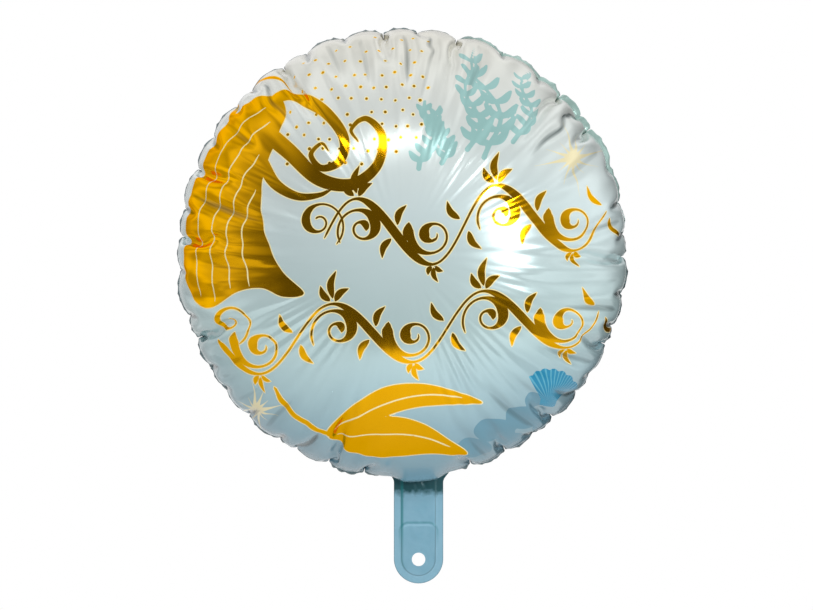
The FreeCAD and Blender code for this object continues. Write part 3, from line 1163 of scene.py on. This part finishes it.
def printed_film():
    """The printed front: satin ink on a fading ground, metallic gold edged in light yellow, and painted shade
    down the tucks.
    """
    looks = Looks("printed_film")
    x, up, _ = looks.parts(looks.attribute("film_place", "Vector"))
    cloud = looks.noise(9.0, 3.0, looks.attribute("film_place", "Vector"))
    height = looks.scaled(up, 1 / (2 * FLAT_R * MM), 0.5)
    height = looks.maths("ADD", height, looks.scaled(cloud, 0.10, -0.05), clamp=True)
    base = looks.ramp(height, (
        (0.02, (0.20, 0.36, 0.44)), (0.17, (0.30, 0.48, 0.56)), (0.36, (0.53, 0.70, 0.71)),
        (0.56, (0.70, 0.83, 0.84)), (0.78, (0.79, 0.82, 0.78)), (0.98, (0.78, 0.75, 0.65)),
    ))  # fmt: skip
    base = looks.mix(looks.below(looks.attribute("pebbles"), 0), base, (0.15, 0.34, 0.44))
    base = looks.mix(looks.below(looks.attribute("kelp"), 0), base, (0.36, 0.62, 0.60))
    shell_x, shell_y, _ = looks.parts(looks.attribute("shell_place", "Vector"))
    fan = looks.maths("ARCTAN2", shell_y, shell_x)
    rib = looks.maths("SINE", looks.times(fan, 44.0))
    shell_ink = looks.mix(looks.below(rib, -0.55, 0.2), (0.006, 0.27, 0.47), (0.10, 0.45, 0.62))
    base = looks.mix(looks.below(looks.attribute("shell"), 0), base, shell_ink)
    sparkle = looks.maths("MINIMUM", line_inside(looks, "sparkle_1"), line_inside(looks, "sparkle_2"))
    base = looks.mix(looks.below(sparkle, 0), base, (0.93, 0.84, 0.52))
    dx, dy, radius = looks.parts(looks.attribute("gold_dots", "Vector"))
    from_dot = looks.maths("SQRT", looks.maths("ADD", looks.times(dx, dx), looks.times(dy, dy)))
    dot = looks.maths("SUBTRACT", from_dot, radius)
    lines = looks.maths("MINIMUM", line_inside(looks, "gold_line_1"), line_inside(looks, "gold_line_2"))
    gold = looks.maths("MINIMUM", lines, looks.maths("MINIMUM", looks.attribute("gold_shapes"), dot))
    outline = looks.below(gold, 0.75)
    clear_of_lines = looks.maths("SUBTRACT", 1.0, looks.below(line_inside(looks, "pale_line"), 0))
    ink = looks.times(looks.below(gold, 0), clear_of_lines)
    base = looks.mix(outline, base, (0.90, 0.80, 0.42))
    tarnish = looks.noise(30.0, 4.0, looks.attribute("film_place", "Vector"))
    gold_colour = looks.mix(tarnish, (0.90, 0.43, 0.003), (0.96, 0.50, 0.006))
    base = looks.mix(ink, base, gold_colour)
    # Painted shade: the film is darkened where it lies deep in a tuck, where real shade falls.
    painted_tuck_shade = looks.step(looks.attribute("fold_depth"), 0.30, 0.85)
    base = looks.mix(looks.times(painted_tuck_shade, 0.88), base, (0.020, 0.055, 0.055))
    smear = looks.noise(55.0, 5.0, looks.attribute("film_place", "Vector"), 0.6)
    rough = looks.mix_value(ink, looks.scaled(smear, 0.10, 0.20), looks.scaled(smear, 0.05, 0.13))
    metal = looks.mix_value(ink, looks.mix_value(outline, 0.36, 0.10), 1.0)
    coat = looks.mix_value(ink, looks.mix_value(smear, 0.45, 0.60), 0.0)
    looks.bump(looks.noise(420.0, 2.0), looks.mix_value(ink, 0.035, 0.0), 0.0004)
    tint = looks.mix(ink, (1.0, 1.0, 1.0), (1.0, 0.66, 0.08))
    looks.set(Base_Color=base, Roughness=rough, Metallic=metal, Specular_Tint=tint)
    return looks.set(Coat_Weight=coat, Coat_Roughness=0.10)


def plain_film(name, dark, light, metallic, low_rough, coat):
    """Unprinted metallised film: cloudy in colour and gloss, with a fine grain."""
    looks = Looks(name)
    place = looks.node("ShaderNodeTexCoord").outputs["Object"]
    cloud = looks.noise(24.0, 4.0, place, 0.6)
    smear = looks.noise(90.0, 4.0, place)
    looks.bump(looks.noise(1100.0, 3.0, place), 0.07, 0.0003)
    rough = looks.scaled(smear, 0.12, low_rough)
    base = looks.mix(cloud, dark, light)
    return looks.set(Base_Color=base, Roughness=rough, Metallic=metallic, Coat_Weight=coat, Coat_Roughness=0.15)


def tail_film(name, dark, light, metallic):
    """The tail's film: a paler, finely crimped band where the plies are welded, and painted shade on the neck
    just under the body.
    """
    looks = Looks(name)
    place = looks.node("ShaderNodeTexCoord").outputs["Object"]
    edge = looks.attribute("edge_distance")
    band = looks.below(edge, TAIL_WELD, 0.35)
    line = looks.near(edge, TAIL_WELD, 0.45, 0.3)
    cloud = looks.noise(60.0, 4.0, place, 0.6)
    base = looks.mix(cloud, dark, light)
    base = looks.mix(looks.times(band, 0.30), base, light)
    deep = tuple(0.30 * c for c in dark)
    base = looks.mix(looks.times(line, 0.55), base, deep)
    base = looks.mix(looks.times(looks.below(edge, 0.45, 0.25), 0.6), base, deep)
    across, _, up = looks.parts(place)
    # Painted shade: the neck film is darkened just under the bulging body, with a wavy lower edge.
    painted_neck_shade = looks.step(looks.scaled(looks.noise(260.0, 2.0, place), 0.008, up), -0.0060, -0.0005)
    base = looks.mix(looks.times(painted_neck_shade, 0.95), base, (0.006, 0.075, 0.085))
    inlet = looks.near(looks.attribute("inlet_distance"), 1.0, 0.8, 0.5)
    high_up = looks.step(up, -0.050, -0.030)
    base = looks.mix(looks.times(looks.times(inlet, high_up), 0.5), base, (0.03, 0.22, 0.26))
    left = looks.step(across, -0.009, -0.0125)
    left_line = looks.times(left, looks.near(edge, TAIL_WELD + 0.3, 1.1, 0.6))
    base = looks.mix(looks.times(left_line, looks.scaled(high_up, 0.4, 0.25)), base, (0.02, 0.24, 0.26))
    crimp = looks.times(looks.crimping(place, 420.0, 1.5), looks.times(band, 0.7))
    looks.bump(looks.maths("ADD", looks.noise(700.0, 3.0, place), crimp), 0.14, 0.0003)
    rough = looks.maths("ADD", looks.scaled(cloud, 0.12, 0.24), looks.times(band, 0.08))
    return looks.set(Base_Color=base, Roughness=rough, Metallic=metallic, Coat_Weight=0.4, Coat_Roughness=0.12)


def weld_band():
    """The rim weld: crimped, with painted shade for most of the way round and painted light at the upper right.
    """
    looks = Looks("weld_band")
    place = looks.node("ShaderNodeTexCoord").outputs["Object"]
    cloud = looks.noise(40.0, 4.0, place)
    crimp = looks.crimping(place, 300.0, 2.0)
    looks.bump(looks.maths("ADD", crimp, looks.noise(800.0, 2.0, place)), 0.2, 0.0003)
    across, _, up = looks.parts(place)
    across, up = (looks.maths("SUBTRACT", v, c * MM) for v, c in ((across, CENTRE[0]), (up, CENTRE[2])))
    # Painted light and shade: one weld film, coloured dark as in shade for most of the way round and pale as if
    # lit towards the upper right.
    towards_light_side = looks.maths("ADD", looks.times(across, 0.74), looks.times(up, 0.67))
    painted_light_side = looks.step(towards_light_side, 0.135, 0.160)
    base = looks.mix(painted_light_side, looks.mix(cloud, (0.015, 0.05, 0.06), (0.10, 0.20, 0.22)),
                     looks.mix(cloud, (0.30, 0.52, 0.48), (0.62, 0.80, 0.74)))  # fmt: skip
    rough = looks.scaled(cloud, 0.15, 0.18)
    return looks.set(Base_Color=base, Roughness=rough, Metallic=0.6, Coat_Weight=0.3, Coat_Roughness=0.12)


def room_light():
    """The room as the film sees it: dim behind the camera, patchy at the sides, a white backdrop behind."""
    looks = Looks("room_light")
    place = looks.node("ShaderNodeTexCoord").outputs["Object"]
    direction = looks.node("ShaderNodeVectorMath", {0: place}, operation="NORMALIZE").outputs[0]
    right, away, up = looks.parts(direction)
    dim_front = looks.step(away, -0.82, -0.12)
    patches = looks.step(looks.noise(2.1, 1.5, direction), 0.40, 0.60)
    room = looks.mix_value(dim_front, 0.10, looks.mix_value(patches, 0.45, 0.95))
    side = looks.scaled(right, 0.8, looks.times(up, -0.6))
    dark_gap = looks.times(looks.step(away, 0.35, 0.75), looks.step(side, -0.12, 0.30))
    room = looks.mix_value(dark_gap, room, 0.06)
    room = looks.mix_value(looks.step(away, 0.955, 0.985), room, 1.0)
    glow = looks.node("ShaderNodeEmission", {"Strength": room})
    looks.put(looks.tree.nodes["Material Output"].inputs["Surface"], glow.outputs[0])
    looks.material.cycles.emission_sampling = "NONE"
    return looks.material


def dress(made, material):
    made.data.materials.clear()
    made.data.materials.append(material)


# ---------------------------------------------------------------- build the pieces
folds, lengths, theta, film = relaxed_film()
front, front_flat = panel("front_film", film, lengths, theta, -1, seed=21)
back, back_flat = panel("back_film", film, lengths, theta, 1, seed=22)
print_design(front, front_flat)
turn = np.array([[math.cos(LEAN), math.sin(LEAN)], [-math.sin(LEAN), math.cos(LEAN)]])
for made, flat in ((front, front_flat), (back, back_flat)):
    point_values(made, "film_place", np.column_stack([flat @ turn.T, 0 * flat[:, 0]]) * MM)

rim = flange(film[-1], folds)
neck_points, neck_faces = neck_flat()
tail_points, tail_faces = tail_flat()

BACK_DARK, BACK_LIGHT = (0.20, 0.42, 0.45), (0.34, 0.56, 0.58)
film_front = printed_film()
film_back = plain_film("back_film", BACK_DARK, BACK_LIGHT, metallic=0.8, low_rough=0.16, coat=0.3)
tail_front = tail_film("tail_film", (0.19, 0.42, 0.55), (0.30, 0.53, 0.66), metallic=0.20)
tail_back = tail_film("tail_back_film", BACK_DARK, BACK_LIGHT, metallic=0.7)
welds = weld_band()
valve = plain_film("valve_film", (0.55, 0.60, 0.61), (0.70, 0.73, 0.73), metallic=0.0, low_rough=0.30, coat=0.2)

dress(front, film_front)
dress(back, film_back)
dress(rim, welds)
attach(front, "envelope")
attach(back, "envelope")
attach(rim, "envelope")
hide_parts("front_panel")
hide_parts("back_panel")
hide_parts("rim_weld")

# The front plies stand for the welds too, which lie between the plies and can't be told from them.
NECK_WELDS, TAIL_WELDS = ("neck_side_welds", "tail_upper_side_welds"), ("tail_end_weld",)
PLIES = (("front", -1, tail_front, "tail_film"), ("back", 1, tail_back, "back_film"))
for label, side, finish, slot_name in PLIES:
    neck = ply(f"neck_{label}_film", neck_points, neck_faces, side)
    tail = ply(f"tail_{label}_film", tail_points, tail_faces, side)
    for made in (neck, tail):
        dress(made, finish)
    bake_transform(neck)
    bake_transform(tail)
    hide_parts(f"neck_{label}_ply", *(NECK_WELDS if side < 0 else ()))
    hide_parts(f"tail_upper_{label}_ply", f"tail_end_{label}_ply", *(TAIL_WELDS if side < 0 else ()))

for name, node in frame["nodes"].items():
    if name.startswith("valve"):
        dress(node, valve)


# ---------------------------------------------------------------- studio
def look_at(made, target):
    made.rotation_euler = (Vector(target) - made.location).to_track_quat("-Z", "Y").to_euler()


def softbox(name, azimuth, elevation, distance, width, height, power):
    """A rectangular light that faces the disc's middle. Azimuth and elevation are in degrees."""
    light = bpy.data.lights.new(name, "AREA")
    light.shape, light.size, light.size_y, light.energy = "RECTANGLE", width, height, power
    made = bpy.data.objects.new(name, light)
    bpy.context.scene.collection.objects.link(made)
    a, e = math.radians(azimuth), math.radians(elevation)
    centre = Vector(CENTRE * MM)
    direction = Vector((math.sin(a) * math.cos(e), -math.cos(a) * math.cos(e), math.sin(e)))
    made.location = centre + distance * direction
    look_at(made, centre)
    return made


softbox("softbox_above", -4, 31, 1.6, 0.75, 0.10, 1.9)
softbox("softbox_right", 30, 5, 1.6, 0.26, 0.32, 6.0)
fill = softbox("fill", 6, 20, 2.2, 1.4, 1.4, 24.0)
fill.visible_glossy = False  # it lights the film and isn't seen in it

world = bpy.data.worlds.new("white_surround")
bpy.context.scene.world = world
world.use_nodes = True
world.node_tree.nodes["Background"].inputs["Color"].default_value = (1, 1, 1, 1)
for kind in ("diffuse", "glossy", "transmission", "scatter"):
    setattr(world.cycles_visibility, kind, False)  # the room below lights the object instead

ROOM_R = 9.0  # metres
bpy.ops.mesh.primitive_uv_sphere_add(segments=64, ring_count=32, radius=ROOM_R, location=Vector(CENTRE * MM))
room_shell = bpy.context.object
room_shell.name = "room_light"
room_shell.visible_camera = room_shell.visible_shadow = False
dress(room_shell, room_light())

floor_z = cad_low.z - 0.35
bpy.ops.mesh.primitive_circle_add(vertices=96, radius=1.3, fill_type="NGON", location=(0, 0, floor_z))
floor = bpy.context.object
floor.name = "floor"
paint = Looks("floor_paint")
shade = paint.noise(3.0, 2.0)
dress(floor, paint.set(Base_Color=paint.mix(shade, (0.84, 0.84, 0.84), (0.88, 0.88, 0.88)), Roughness=0.6))

VIEW_WIDTH = 0.627  # how wide the picture is at the seam plane, in metres
CAMERA_DISTANCE = 3.2
VIEW_SHIFT = (0.0031, -0.0397)  # from the disc's middle to the middle of the picture
camera = bpy.data.cameras.new("camera")
camera.sensor_width = 36
camera.lens = camera.sensor_width * CAMERA_DISTANCE / VIEW_WIDTH
viewer = bpy.data.objects.new("camera", camera)
bpy.context.scene.collection.objects.link(viewer)
viewer.location = (CENTRE[0] * MM + VIEW_SHIFT[0], -CAMERA_DISTANCE, CENTRE[2] * MM + VIEW_SHIFT[1])
viewer.rotation_euler = (math.pi / 2, 0, 0)
bpy.context.scene.camera = viewer
bpy.context.scene.view_settings.view_transform = "Standard"
